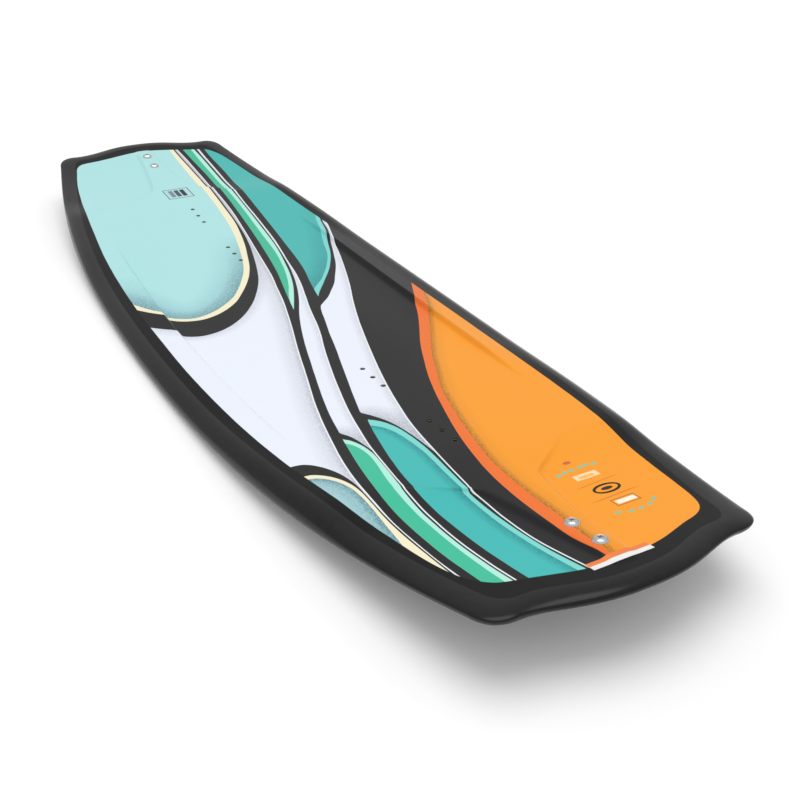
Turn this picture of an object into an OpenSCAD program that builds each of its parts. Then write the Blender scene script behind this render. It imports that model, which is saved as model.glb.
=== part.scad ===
// Wakeboard: a twin-tip board with a printed deck, a moulded rail all round, four
// groups of threaded inserts for the bindings and one bolt-on fin at each end.
// Frame: X runs along the board with the nose at +X, Y runs across it, Z is up.
// The origin is under the middle of the base, on the surface that the board rests on.

/* [Board] */
// Length from tip to tip
board_len = 1376; // [1150:2:1660]
// Width at the middle
board_w = 430; // [360:1:520]
// Width where the sides meet the corners of the tips
tip_w = 290; // [240:1:350]
// Length of a tip past the end of the side curve
tip_len = 48; // [38:1:60]
// How far the middle of a tip stands out past its corners
tip_lobe = 21; // [8:1:30]
// Rise of the base at the tips
rocker = 64; // [40:1:90]
// Thickness at the middle of the board
board_t = 24.3; // [20:0.1:30]
// Thickness of the spine that carries the fin bolts
spine_t = 17; // [15:0.1:21]
// Thickness of the tips
tip_t = 12.5; // [10:0.1:15]

/* [Deck shape] */
// Height of the ribs along both sides of the deck
rim_rise = 4.7; // [2:0.1:7]
// Depth of the deck inside the ribs
channel_drop = 1.8; // [0:0.1:3]
// Height of the step from the body down to the tip flanges
step_drop = 4.5; // [2:0.1:6]
// Distance from the middle of the board to the corner of that step
step_x = 488; // [420:1:560]
// Half width of the spine at that corner
spine_w = 31; // [24:1:40]

/* [Rail] */
// Width of the rail
rail_w = 20; // [14:1:26]
// Height of the widest line of the rail over the base, along the sides
rail_lip = 8; // [5:0.5:10]
// The same height at the middle of a tip
tip_lip = 5; // [3:0.5:7]
// Rounding under the rail
rail_round = 8; // [4:0.5:12]

/* [Layers] */
// Printed deck sheet
sheet_t = 0.9; // [0.5:0.1:1.4]
// Glass laminate on each side of the foam
laminate_t = 0.9; // [0.5:0.1:1.4]

/* [Binding inserts] */
// Distance between the middles of the two bindings
stance = 584.2; // [530:0.1:640]
// Distance between the two insert groups of one binding
group_gap = 152.4; // [130:0.1:170]
// Distance between neighbouring inserts in a group
insert_pitch = 25.4; // [20:0.1:30]
// Inserts in a group
insert_count = 3; // [2:1:3]
// Diameter of the insert's threaded hole, at its crests
insert_bore = 5; // [4:0.1:6]
// Outside diameter of an insert
insert_d = 10; // [8.5:0.1:12]
// Diameter of the insert's flange
insert_flange_d = 13; // [12.2:0.1:15]
// Thickness of the insert's flange
insert_flange_t = 1.5; // [1:0.1:2]
// Length of an insert
insert_len = 14; // [10:0.5:15]
// Width of the block that holds a group of inserts
block_w = 36; // [28:1:44]
// Material left around the end inserts of a block
block_end = 17; // [12:1:22]
// Clearance hole in the deck over an insert
insert_hole_d = 6.6; // [6.1:0.1:8]

/* [Fins] */
// Distance from the middle of the board to the middle of a fin
fin_x = 602; // [560:1:606]
// Length of a fin along the base
fin_len = 112; // [90:1:116]
// Depth of a fin
fin_depth = 30; // [20:1:36]
// Thickness of a fin at its foot
fin_t = 12; // [11:0.5:16]
// Thickness of a fin at its edge
fin_edge_t = 4; // [2:0.5:6]
// Distance between the two bolts of a fin
bolt_pitch = 37.6; // [30:0.1:46]
// Diameter of a bolt
bolt_d = 6; // [5:0.1:6.4]
// Thread diameter that the bolt and its nut share
thread_d = 5; // [4:0.1:5.4]
// Clearance around a bolt in the board
bolt_clear = 0.3; // [0.1:0.05:0.6]
// Length of the thread inside a fin
thread_len = 12; // [8:0.5:14]
// Outside diameter of a fin's nut
nut_d = 8; // [7:0.1:9]
// Diameter of a cup washer
washer_d = 15; // [13.5:0.1:17]
// Height of a cup washer
washer_t = 2.6; // [2:0.1:3]
// Depth of the flat seat cut for a cup washer
seat_depth = 0.4; // [0.3:0.05:0.8]
// Gap between a fin's foot and the base
fin_bed = 0.1; // [0.05:0.05:0.3]

/* [Label] */
// Width of the plain strip at the nose
label_w = 63; // [30:1:80]
// Length of the strip along the board
label_len = 11.5; // [6:0.5:14]
// Gap between the strip and the nearest washer
label_gap = 12; // [8:0.5:14]
// Thickness of the strip
label_t = 0.3; // [0.2:0.1:0.5]

/* [Hidden] */

half_len = board_len / 2;
half_w = board_w / 2;
tip_half = tip_w / 2;
side_end = half_len - tip_len;
skin = sheet_t + laminate_t;
far = 200;

// Shares of the half length where the board has a cross line of points
stations = [
    0, 0.075, 0.15, 0.23, 0.31, 0.385, 0.455, 0.525, 0.595, 0.655,
    0.695, 0.735, 0.775, 0.82, 0.875, 0.925, 0.965, 1
];
// Shares of the half width where a tip has its points, before its corner starts
tip_shares = [0, 0.05, 0.12, 0.25, 0.42, 0.6];
// Places along the corner's curve where a tip has its points
corner_places = [0, 0.08, 0.3, 0.55, 0.8, 1];
// Foot and crest of the ribs, as shares of the half width; a tip's corner starts in line
// with the foot, so that a row of points runs along it
rib_foot = 0.785;
rib_crest = 0.812;
rib_level = 0.93;
corner_share = rib_foot;
// Width of the slope of the step
step_run = 8;
corner_x = half_len - tip_lobe;

function smooth(a, b, v) = let (k = min(max((v - a) / (b - a), 0), 1)) k * k * (3 - 2 * k);
function mix(a, b, k) = a + (b - a) * k;
function bezier(a, b, c, k) = a * (1 - k) * (1 - k) + b * 2 * k * (1 - k) + c * k * k;

// Base line: partly a round curve and partly one that steepens towards the tips
function base_z(x) = let (t = abs(x) / half_len) rocker * t * t * (0.545 + 0.455 * t);

// Half width of the board along its sides
function side_y(x) = let (s = min(abs(x) / side_end, 1), q = s * s)
    half_w - (half_w - tip_half) * q * (0.6 + 0.67 * q - 0.27 * q * q);

// Outline of a tip, from its middle to the end of the side
function lobe_x(y) = let (k = min(y / (corner_share * tip_half), 1))
    half_len - tip_lobe * (1 - cos(180 * pow(k, 1.3))) / 2;
corner_points = [
    [corner_x, corner_share * tip_half],
    [corner_x + 2.5, tip_half - 4.5],
    [side_end, tip_half]
];
tip_edge = concat(
    [for (s = tip_shares) [lobe_x(s * tip_half), s * tip_half]],
    [for (k = corner_places) bezier(corner_points[0], corner_points[1], corner_points[2], k)]
);

// Line along which the raised body steps down to the tip flanges
function step_y(x) = let (past = abs(x) - step_x)
    past < 0 ? spine_w - 1.4 * past : spine_w * exp(-past / 118);

// Thickness of the middle of the board
last_washer = fin_x + (bolt_pitch + washer_d) / 2;
spine_end = last_washer - 5;
function middle_t(a) = mix(board_t, spine_t, smooth(step_x - 98, fin_x + 8, a))
    - (spine_t - tip_t) * smooth(spine_end, spine_end + 35, a);

// Ribs along the sides, and the shallow channel inside them; share is the share of the
// half width, and a rib falls back to the deck's level at rib_level
function rib_z(a, share) = let (wall = smooth(rib_foot, rib_crest, share))
    (1 - smooth(180, 340, a)) * (
        rim_rise * wall * (1 - max(share - rib_crest, 0) / (rib_level - rib_crest))
        - channel_drop * smooth(0.3, 0.7, share) * (1 - wall));

// Drop of the tip flanges
function flange_z(a, b) = smooth(0, step_run, b - step_y(a))
    * min(step_drop * smooth(step_x - 63, step_x + 12, a), middle_t(a) - tip_t);

function deck_t(x, y, share) = middle_t(abs(x)) + rib_z(abs(x), share)
    - flange_z(abs(x), abs(y));
function deck_z(x, y, share) = base_z(x) + deck_t(x, y, share);
function middle_z(x) = deck_z(x, 0, 0);
function slope(x) = atan((middle_z(x + 1) - middle_z(x - 1)) / 2);
function base_slope(x) = atan((base_z(x + 1) - base_z(x - 1)) / 2);

// Cross lines of points from tail to nose, and rows of points from right to left
last_station = len(stations) - 1;
last_row = len(tip_edge) - 1;
lines = [for (i = [-last_station : last_station]) i];
rows = [for (j = [-last_row : last_row]) j];
function signed(i, list) = sign(i) * list[abs(i)];

// Share of the half width of row j on cross line i. From first_step_line on, rows 2 and 3
// run along the top and the foot of the step to the tip flanges, between rows 1 and 4.
first_step_line = 10;
function share_of(i, j) = let (
        row = abs(j),
        station = stations[abs(i)],
        share = tip_edge[row][1] / tip_half,
        w = side_y(station * side_end) - rail_w,
        top = min(step_y(station * (half_len - rail_w)) / w, 0.45),
        foot = top + step_run / w
    )
    abs(i) < first_step_line || row > 4 ? share
    : row == 4 ? max(share, foot + 0.03)
    : row == 3 ? foot
    : row == 2 ? top
    : min(share, top / 2);
function edge_x(i, j) = abs(j) < len(tip_shares)
    ? lobe_x(share_of(i, j) * tip_half)
    : tip_edge[abs(j)][0];

// Point of the stack of layers, inside the rail, and of the board's outline
function inner(i, j) = [
    signed(i, stations) * (edge_x(i, j) - rail_w),
    sign(j) * share_of(i, j) * (side_y(stations[abs(i)] * side_end) - rail_w)
];
function outer(i, j) = [
    signed(i, stations) * edge_x(i, j),
    sign(j) * share_of(i, j) * side_y(stations[abs(i)] * side_end)
];

// Surfaces between the layers, each as a height over the base or a depth under the deck
function above_base(h) = ["base", h];
function under_deck(h) = ["deck", h];
function level_z(p, share, level) = level[0] == "base"
    ? base_z(p[0]) + level[1]
    : deck_z(p[0], p[1], share) - level[1];

// Triangles of a grid of na by nb points that starts at point number first
function grid_faces(na, nb, first, flip) = [
    for (a = [0 : na - 2], b = [0 : nb - 2], half = [0, 1])
        let (
            p = first + a * nb + b,
            tri = half == 0 ? [p, p + 1, p + nb + 1] : [p, p + nb + 1, p + nb]
        )
        flip ? [tri[2], tri[1], tri[0]] : tri
];

// Loop of grid point numbers round the edge of the grid
function edge_loop(na, nb) = concat(
    [for (a = [0 : na - 2]) a * nb],
    [for (b = [0 : nb - 2]) (na - 1) * nb + b],
    [for (a = [na - 1 : -1 : 1]) a * nb + nb - 1],
    [for (b = [nb - 1 : -1 : 1]) b]
);

// One layer of the stack, between two levels
module layer(low, high) {
    na = len(lines);
    nb = len(rows);
    count = na * nb;
    loop = edge_loop(na, nb);
    n = len(loop);
    points = [
        for (level = [low, high], i = lines, j = rows)
            let (p = inner(i, j)) [p[0], p[1], level_z(p, share_of(i, j), level)]
    ];
    walls = [
        for (k = [0 : n - 1], half = [0, 1])
            let (a = loop[k], b = loop[(k + 1) % n])
            half == 0 ? [b, a, b + count] : [a, a + count, b + count]
    ];
    polyhedron(
        points,
        concat(grid_faces(na, nb, 0, true), grid_faces(na, nb, count, false), walls),
        convexity = 6
    );
}

// Height of the rail's widest line over the base
function lip_z(x, y) = mix(
    rail_lip,
    mix(tip_lip, rail_lip, smooth(60, 125, abs(y))),
    smooth(side_end - 40, half_len - 18, abs(x))
);

// Cross-section of the rail, as [share of its width, height over the base]
top_angles = [0, 18, 36, 54, 72, 90];
low_angles = [30, 60, 90];
function rail_section(t, lip) = concat(
    [[0, 0]],
    [for (g = top_angles) [sin(g), mix(lip, t, cos(g))]],
    [for (g = low_angles)
        [1 - min(rail_round, 1.2 * lip) / rail_w * (1 - cos(g)), lip * (1 - sin(g))]]
);

module rail_ring() {
    stops = concat(
        [for (i = lines) [i, -last_row]],
        [for (j = [-last_row + 1 : last_row]) [last_station, j]],
        [for (i = [last_station - 1 : -1 : -last_station]) [i, last_row]],
        [for (j = [last_row - 1 : -1 : -last_row + 1]) [-last_station, j]]
    );
    m = 1 + len(top_angles) + len(low_angles);
    n = len(stops);
    points = [
        for (stop = stops)
            let (
                a = inner(stop[0], stop[1]),
                b = outer(stop[0], stop[1]),
                section = rail_section(
                    deck_t(a[0], a[1], share_of(stop[0], stop[1])), lip_z(b[0], b[1])
                )
            )
            for (q = section)
                let (p = mix(a, b, q[0])) [p[0], p[1], base_z(p[0]) + q[1]]
    ];
    polyhedron(
        points,
        [
            for (s = [0 : n - 1], k = [0 : m - 1], half = [0, 1])
                let (
                    s2 = (s + 1) % n,
                    k2 = (k + 1) % m,
                    a = s * m + k, b = s * m + k2, c = s2 * m + k2, d = s2 * m + k
                )
                half == 0 ? [a, b, c] : [a, c, d]
        ],
        convexity = 6
    );
}

// Places along the board of the four insert groups and the parts of a fin's end
outer_group_x = (stance + group_gap) / 2;
inner_group_x = (stance - group_gap) / 2;
block_len = (insert_count - 1) * insert_pitch + 2 * block_end;
insert_offsets = [for (k = [0 : insert_count - 1]) (k - (insert_count - 1) / 2) * insert_pitch];
bolt_offsets = [-bolt_pitch / 2, bolt_pitch / 2];
fin_block_len = bolt_pitch + 2 * block_end;
bolt_r = bolt_d / 2;
bolt_hole_r = bolt_r + bolt_clear;
thread_r = thread_d / 2;

// Top of an insert: just under the laminate at the low edge of the insert's flange
function insert_top(x) = min(
    middle_z(x - insert_flange_d / 2), middle_z(x), middle_z(x + insert_flange_d / 2)
) - skin - 0.1;

module insert_shape(grow = 0) {
    translate([0, 0, -insert_len - grow])
        cylinder(d = insert_d, h = insert_len + grow, $fn = 48);
    translate([0, 0, -insert_flange_t])
        cylinder(d = insert_flange_d, h = insert_flange_t + grow * far, $fn = 48);
}

// Holes that the inserts and the bolts need through whatever they pass
module at_inserts(group_x) {
    for (dx = insert_offsets)
        translate([group_x + dx, 0, insert_top(group_x + dx)]) children();
}

module all_groups() {
    for (side = [0, 1], group_x = [inner_group_x, outer_group_x])
        mirror([side, 0, 0]) at_inserts(group_x) children();
}

// The bolts of one fin are parallel, and square to the deck between them
module at_bolt(dx) {
    translate([fin_x + dx, 0, middle_z(fin_x + dx)])
        rotate([0, -slope(fin_x), 0]) translate([0, 0, -seat_depth]) children();
}

module at_bolts() {
    for (dx = bolt_offsets)
        at_bolt(dx) children();
}

module both_ends() {
    for (side = [0, 1]) mirror([side, 0, 0]) children();
}

module bolt_holes() {
    both_ends() at_bolts()
        translate([0, 0, -far / 2]) cylinder(r = bolt_hole_r, h = far, $fn = 48);
}

module washer_seats() {
    both_ends() at_bolts() cylinder(d = washer_d, h = 5, $fn = 64);
}

module deck_holes() {
    all_groups() cylinder(d = insert_hole_d, h = far / 2, $fn = 48);
}

// Whole column of the core between the skins, over a rectangle of the board
module core_column(x, len_x, len_y) {
    translate([x - len_x / 2, -len_y / 2, -far / 2]) cube([len_x, len_y, far * 1.5]);
}

module core_solid() {
    layer(above_base(skin), under_deck(skin));
}

module block_columns() {
    both_ends() {
        core_column(inner_group_x, block_len, block_w);
        core_column(outer_group_x, block_len, block_w);
        core_column(fin_x, fin_block_len, block_w);
    }
}

module deck_sheet() {
    color("#eef2fb") difference() {
        layer(under_deck(sheet_t), under_deck(0));
        deck_holes();
        bolt_holes();
        washer_seats();
    }
}

module deck_laminate() {
    color("#c9cfae") difference() {
        layer(under_deck(skin), under_deck(sheet_t));
        deck_holes();
        bolt_holes();
    }
}

module foam_core() {
    color("#e8dfc4") difference() {
        core_solid();
        block_columns();
    }
}

module base_laminate() {
    color("#c9cfae") difference() {
        layer(above_base(sheet_t), above_base(skin));
        bolt_holes();
    }
}

module base_sheet() {
    color("#26282b") difference() {
        layer(above_base(0), above_base(sheet_t));
        bolt_holes();
    }
}

module rail() {
    color("#34363a") rail_ring();
}

// The blocks are cut out of the same core as the foam, at either end, so they fill its
// pockets exactly
module insert_block(x) {
    color("#d8d4c8") difference() {
        intersection() {
            core_solid();
            core_column(x, block_len, block_w);
        }
        at_inserts(x) insert_shape(1);
    }
}

module insert_group(x) {
    color("#b08d57") at_inserts(x) difference() {
        insert_shape();
        translate([0, 0, -insert_len + 1.5]) cylinder(d = insert_bore, h = insert_len, $fn = 48);
    }
}

module fin_block(x) {
    color("#d8d4c8") difference() {
        intersection() {
            core_solid();
            core_column(x, fin_block_len, block_w);
        }
        bolt_holes();
    }
}

// Fin: sections along its foot, each a loop of points that narrows towards the edge
fin_shares = [-1, -0.94, -0.84, -0.7, -0.5, -0.25, 0, 0.25, 0.5, 0.7, 0.84, 0.94, 1];
fin_levels = [0, 0.12, 0.4, 0.7, 0.93, 1];
function fin_half_t(s, level) = mix(fin_t, fin_edge_t, smooth(0, 0.8, level)) / 2
    * pow(max(1 - s * s * s * s, 0.01), 0.5)
    * (level > 0.99 ? 0.35 : 1);
function fin_reach(s) = fin_depth * pow(max(1 - pow(abs(s), 2.4), 0.012), 0.62);

module fin_body() {
    k = len(fin_levels);
    loop = 2 * k;
    n = len(fin_shares);
    points = [
        for (s = fin_shares, side = [0, 1], q = [0 : k - 1])
            let (
                level = side == 0 ? fin_levels[q] : fin_levels[k - 1 - q],
                x = fin_x + s * fin_len / 2
            )
            [x, (side == 0 ? 1 : -1) * fin_half_t(s, level),
                base_z(x) - fin_bed - level * fin_reach(s)]
    ];
    skins = [
        for (i = [0 : n - 2], j = [0 : loop - 1], half = [0, 1])
            let (
                j2 = (j + 1) % loop,
                a = i * loop + j, b = i * loop + j2, c = a + loop, d = b + loop
            )
            half == 0 ? [a, c, d] : [a, d, b]
    ];
    ends = [
        for (i = [0, n - 1], j = [1 : loop - 2])
            i == 0 ? [0, j, j + 1] : [i * loop, i * loop + j + 1, i * loop + j]
    ];
    polyhedron(points, concat(skins, ends), convexity = 4);
}

// Depth of a fin's foot below the washers' seats, along the bolts
function foot_drop(dx) = (middle_z(fin_x + dx) - base_z(fin_x + dx) + fin_bed)
    * cos(slope(fin_x)) - seat_depth;

// Places of the tops of the fin nuts, sunk a little into the fin's foot
nut_sink = 1;
module at_nuts() {
    for (dx = bolt_offsets) at_bolt(dx) translate([0, 0, -foot_drop(dx) - nut_sink]) children();
}

module fin() {
    color("#2b2d30") difference() {
        fin_body();
        at_nuts() translate([0, 0, -thread_len]) cylinder(d = nut_d, h = thread_len + 4, $fn = 48);
    }
}

module fin_nuts() {
    color("#b08d57") at_nuts() translate([0, 0, -thread_len]) difference() {
        cylinder(d = nut_d, h = thread_len, $fn = 48);
        translate([0, 0, -1]) cylinder(r = thread_r, h = thread_len + 2, $fn = 48);
    }
}

// Oval-head bolt with its cone seated in the cup washer; drop is the depth of its thread
recess_w = 4.8;
recess_t = 1.2;
module bolt_body(drop) {
    tip = -drop - thread_len + 0.8;
    rotate_extrude($fn = 64) polygon([
        [0, washer_t + 1.2], [bolt_r, washer_t + 0.9], [bolt_r + 1.8, washer_t + 0.4],
        [bolt_hole_r + washer_t, washer_t], [bolt_hole_r, 0], [bolt_r, -bolt_clear],
        [bolt_r, -drop], [thread_r, -drop], [thread_r, tip + 0.7], [thread_r - 0.7, tip], [0, tip]
    ]);
}

module fin_bolts() {
    color("#c9ccd0") for (dx = bolt_offsets) at_bolt(dx) difference() {
        bolt_body(foot_drop(dx) + nut_sink);
        for (turn = [0, 90]) rotate([0, 0, turn])
            translate([-recess_w / 2, -recess_t / 2, washer_t - 1]) cube([recess_w, recess_t, 4]);
    }
}

module fin_washers() {
    rim = washer_d / 2;
    color("#c9ccd0") at_bolts() rotate_extrude($fn = 64) polygon([
        [bolt_hole_r, 0], [rim, 0], [rim, 0.5], [rim - 0.25, 1.1], [rim - 0.8, washer_t - 0.6],
        [bolt_hole_r + washer_t + 0.2, washer_t], [bolt_hole_r + washer_t, washer_t]
    ]);
}

// Plain strip stuck on the deck just past the fin bolts
label_x = last_washer + label_gap + label_len / 2;
module label() {
    color("#f07a2c") difference() {
        intersection() {
            translate([0, 0, label_t]) layer(under_deck(sheet_t), under_deck(0));
            core_column(label_x, label_len, label_w);
        }
        layer(under_deck(skin), under_deck(0));
    }
}

module tail() {
    mirror([1, 0, 0]) children();
}

deck_sheet();
deck_laminate();
foam_core();
base_laminate();
base_sheet();
rail();
insert_block(outer_group_x);  // nose_outer_block
insert_block(inner_group_x);  // nose_inner_block
insert_block(-inner_group_x);  // tail_inner_block
insert_block(-outer_group_x);  // tail_outer_block
insert_group(outer_group_x);  // nose_outer_inserts
insert_group(inner_group_x);  // nose_inner_inserts
tail() insert_group(inner_group_x);  // tail_inner_inserts
tail() insert_group(outer_group_x);  // tail_outer_inserts
fin_block(fin_x);  // nose_fin_block
fin_block(-fin_x);  // tail_fin_block
fin();  // nose_fin
tail() fin();  // tail_fin
fin_nuts();  // nose_fin_nuts
tail() fin_nuts();  // tail_fin_nuts
fin_bolts();  // nose_fin_bolts
tail() fin_bolts();  // tail_fin_bolts
fin_washers();  // nose_fin_washers
tail() fin_washers();  // tail_fin_washers
label();  // nose_label
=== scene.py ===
"""Wakeboard: the looks of the board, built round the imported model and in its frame.
Sizes are millimetres in the frame of the board, and become metres as a mesh is written."""
import math
import bpy
import numpy as np
from mathutils import Matrix, Quaternion, Vector


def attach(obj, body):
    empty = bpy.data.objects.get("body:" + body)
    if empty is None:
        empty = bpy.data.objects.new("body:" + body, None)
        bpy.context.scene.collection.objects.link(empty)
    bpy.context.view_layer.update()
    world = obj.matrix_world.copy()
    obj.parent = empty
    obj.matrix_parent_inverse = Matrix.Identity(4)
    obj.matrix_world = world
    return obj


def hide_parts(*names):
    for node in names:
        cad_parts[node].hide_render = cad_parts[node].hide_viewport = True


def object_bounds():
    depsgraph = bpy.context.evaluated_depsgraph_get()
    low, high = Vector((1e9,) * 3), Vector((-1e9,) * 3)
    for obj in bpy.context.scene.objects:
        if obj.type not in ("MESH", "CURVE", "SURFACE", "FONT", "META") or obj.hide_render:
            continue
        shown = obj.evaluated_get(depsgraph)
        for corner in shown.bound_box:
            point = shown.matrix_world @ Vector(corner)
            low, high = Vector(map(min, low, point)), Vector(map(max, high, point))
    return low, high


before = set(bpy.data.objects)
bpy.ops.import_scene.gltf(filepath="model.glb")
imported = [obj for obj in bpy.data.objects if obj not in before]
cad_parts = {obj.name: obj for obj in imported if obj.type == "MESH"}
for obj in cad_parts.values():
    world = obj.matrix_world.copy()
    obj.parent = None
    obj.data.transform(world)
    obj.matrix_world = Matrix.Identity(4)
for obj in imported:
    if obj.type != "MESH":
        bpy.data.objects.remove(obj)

cad_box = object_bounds()
MM = 0.001

# ---------------------------------------------------------------- shape of the board
HALF_LEN, HALF_W, TIP_HALF, SIDE_END = 688.0, 215.0, 145.0, 640.0
TIP_LOBE, ROCKER, BOARD_T, SPINE_T, TIP_T = 21.0, 64.0, 24.3, 17.0, 12.5
RIM_RISE, CHANNEL_DROP, STEP_DROP, STEP_X, SPINE_W = 4.7, 1.8, 4.5, 488.0, 31.0
RAIL_W, RAIL_LIP, TIP_LIP, RAIL_ROUND, STEP_RUN = 20.0, 8.0, 5.0, 8.0, 8.0
SHEET_T, LAMINATE_T = 0.9, 0.9
# Foot, crest and far side of the ribs, as shares of the half width, and where they fade
RIB_FOOT, RIB_CREST, RIB_LEVEL = 0.785, 0.812, 0.93
RIB_FADE = (180, 340)
CORNER_Y = RIB_FOOT * TIP_HALF
# Fins, and the two bolts of each
FIN_X, BOLT_PITCH, WASHER_D, SEAT_DEPTH = 602.0, 37.6, 15.0, 0.4
BOLT_R, BOLT_HOLE_R, THREAD_R, BOLT_REACH = 3.0, 3.3, 2.5, 12.0
BOLT_X = [side * (FIN_X + step) for side in (1, -1) for step in (-BOLT_PITCH / 2, BOLT_PITCH / 2)]
SPINE_END = FIN_X + (BOLT_PITCH + WASHER_D) / 2 - 5
# Insert holes: two groups of three for each foot, on the inch pattern of bindings
INCH, HALF_STANCE, INSERT_HOLE_D = 25.4, 292.1, 6.6
INSERT_X = [side * (HALF_STANCE + group + step) for side in (1, -1)
            for group in (-3 * INCH, 3 * INCH) for step in (-INCH, 0, INCH)]


def smooth(a, b, v):
    k = np.clip((v - a) / (b - a), 0, 1)
    return k * k * (3 - 2 * k)


def mix(a, b, k):
    return a + (b - a) * k


def base_z(x):
    t = np.abs(x) / HALF_LEN
    return ROCKER * t * t * (0.545 + 0.455 * t)


def side_y(x):
    q = np.minimum(np.abs(x) / SIDE_END, 1) ** 2
    return HALF_W - (HALF_W - TIP_HALF) * q * (0.6 + 0.67 * q - 0.27 * q * q)


def tip_x(share):
    """Outline of a tip at a share of its half width: a lobe, then a round corner."""
    y = np.abs(share) * TIP_HALF
    lobe = HALF_LEN - TIP_LOBE * (1 - np.cos(np.pi * np.minimum(y / CORNER_Y, 1) ** 1.3)) / 2
    mid_x, mid_y = HALF_LEN - TIP_LOBE + 2.5, TIP_HALF - 4.5
    b, c = 2 * (mid_y - CORNER_Y), CORNER_Y - 2 * mid_y + TIP_HALF
    k = (-b + np.sqrt(np.maximum(b * b - 4 * c * (CORNER_Y - y), 0))) / (2 * c)
    corner = ((HALF_LEN - TIP_LOBE) * (1 - k) ** 2 + 2 * mid_x * k * (1 - k) + SIDE_END * k * k)
    return np.where(y <= CORNER_Y, lobe, corner)


def step_y(x):
    past = np.abs(x) - STEP_X
    return np.where(past < 0, SPINE_W - 1.4 * past, SPINE_W * np.exp(-np.maximum(past, 0) / 118))


def middle_t(a):
    return (mix(BOARD_T, SPINE_T, smooth(STEP_X - 98, FIN_X + 8, a))
            - (SPINE_T - TIP_T) * smooth(SPINE_END, SPINE_END + 35, a))


def deck_t(x, y, share):
    """Thickness of the board: middle, ribs and channels along the sides, tip flanges."""
    a, wall = np.abs(x), smooth(RIB_FOOT, RIB_CREST, share)
    rib = (1 - smooth(*RIB_FADE, a)) * (
        RIM_RISE * wall * (1 - np.maximum(share - RIB_CREST, 0) / (RIB_LEVEL - RIB_CREST))
        - CHANNEL_DROP * smooth(0.3, 0.7, share) * (1 - wall))
    flange = smooth(0, STEP_RUN, np.abs(y) - step_y(x)) * np.minimum(
        STEP_DROP * smooth(STEP_X - 63, STEP_X + 12, a), middle_t(a) - TIP_T)
    return middle_t(a) + rib - flange


def deck_z(x, y, share):
    return base_z(x) + deck_t(x, y, share)


def inner(station, share):
    """Point of the stack of layers, inside the rail."""
    return station * (tip_x(share) - RAIL_W), share * (side_y(station * SIDE_END) - RAIL_W)


def outer(station, share):
    """Point of the outline."""
    return station * tip_x(share), share * side_y(station * SIDE_END)


# ---------------------------------------------------------------- mesh helpers
def get_points(mesh):
    co = np.empty(len(mesh.vertices) * 3, np.float32)
    mesh.vertices.foreach_get("co", co)
    return co.reshape(-1, 3).astype(float)


def set_points(mesh, points):
    mesh.vertices.foreach_set("co", np.asarray(points, np.float32).ravel())
    mesh.update()


def deselect():
    bpy.ops.object.select_all(action="DESELECT")


def named(name):
    """The object that an operator has just made, under its own name."""
    piece = bpy.context.object
    piece.name = piece.data.name = name
    return piece


def edit(piece, *steps):
    """Run edit-mode steps on all of a piece."""
    deselect()
    piece.select_set(True)
    bpy.context.view_layer.objects.active = piece
    bpy.ops.object.mode_set(mode="EDIT")
    for step in steps:
        bpy.ops.mesh.select_all(action="SELECT")
        step()
    bpy.ops.object.mode_set(mode="OBJECT")


def outward():
    bpy.ops.mesh.normals_make_consistent(inside=False)


def weld():
    bpy.ops.mesh.remove_doubles(threshold=0.00001)


def finish_mesh(piece, angle=35):
    """Put the piece's place in its mesh and smooth all but its sharp edges."""
    deselect()
    piece.select_set(True)
    bpy.context.view_layer.objects.active = piece
    bpy.ops.object.transform_apply(location=True, rotation=True, scale=True)
    bpy.ops.object.shade_smooth_by_angle(angle=math.radians(angle))


def apply(piece, kind, **settings):
    modifier = piece.modifiers.new(kind.title(), kind)
    for name, value in settings.items():
        setattr(modifier, name, value)
    bpy.context.view_layer.objects.active = piece
    bpy.ops.object.modifier_apply(modifier=modifier.name)


def cut(piece, cutter):
    """Take the cutter out of the piece, and remove the cutter."""
    apply(piece, "BOOLEAN", operation="DIFFERENCE", solver="EXACT", object=cutter)
    bpy.data.objects.remove(cutter)


def joined(pieces, name):
    deselect()
    for piece in pieces:
        piece.select_set(True)
    bpy.context.view_layer.objects.active = pieces[0]
    bpy.ops.object.join()
    return named(name)


def rods(places, name, vertices=40):
    """Cutter made of rods: each place is (x, y, z, radius, length, tilt)."""
    made = []
    for x, y, z, radius, length, tilt in places:
        deselect()
        bpy.ops.mesh.primitive_cylinder_add(
            vertices=vertices, radius=radius * MM, depth=length * MM,
            location=(x * MM, y * MM, z * MM), rotation=(0, tilt, 0))
        made.append(named(name))
    cutter = joined(made, name)
    bpy.ops.object.transform_apply(location=True, rotation=True, scale=True)
    return cutter


def wrapped(name, points):
    """A ring whose closed section changes as it goes round: points[place][section]."""
    n, m = points.shape[:2]
    deselect()
    bpy.ops.mesh.primitive_grid_add(x_subdivisions=n, y_subdivisions=m, size=2)
    piece = named(name)
    co = get_points(piece.data)
    i = np.rint((co[:, 0] + 1) / 2 * n).astype(int) % n
    j = np.rint((co[:, 1] + 1) / 2 * m).astype(int) % m
    set_points(piece.data, points[i, j] * MM)
    edit(piece, weld, bpy.ops.mesh.delete_loose, outward)
    return piece


# Cross lines about 3.7 mm apart, and rows that follow the ribs. The rows between the two
# step rows run down the slope of the step, along the tips.
STATIONS = np.linspace(-1, 1, 361)
STEP_ROWS, LAST_PLAIN_ROW = (0.2, 0.25), 0.75
HALF_ROWS = np.concatenate([
    np.linspace(0, STEP_ROWS[0], 11), np.linspace(*STEP_ROWS, 7)[1:],
    np.linspace(STEP_ROWS[1], LAST_PLAIN_ROW, 26)[1:], [0.768, 0.779],
    np.linspace(RIB_FOOT, RIB_CREST, 5),
    [0.83, 0.85, 0.87, 0.89, 0.91, RIB_LEVEL, 0.945, 0.96, 0.973, 0.984, 0.993, 1]])
ROWS = np.concatenate([-HALF_ROWS[:0:-1], HALF_ROWS])


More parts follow.
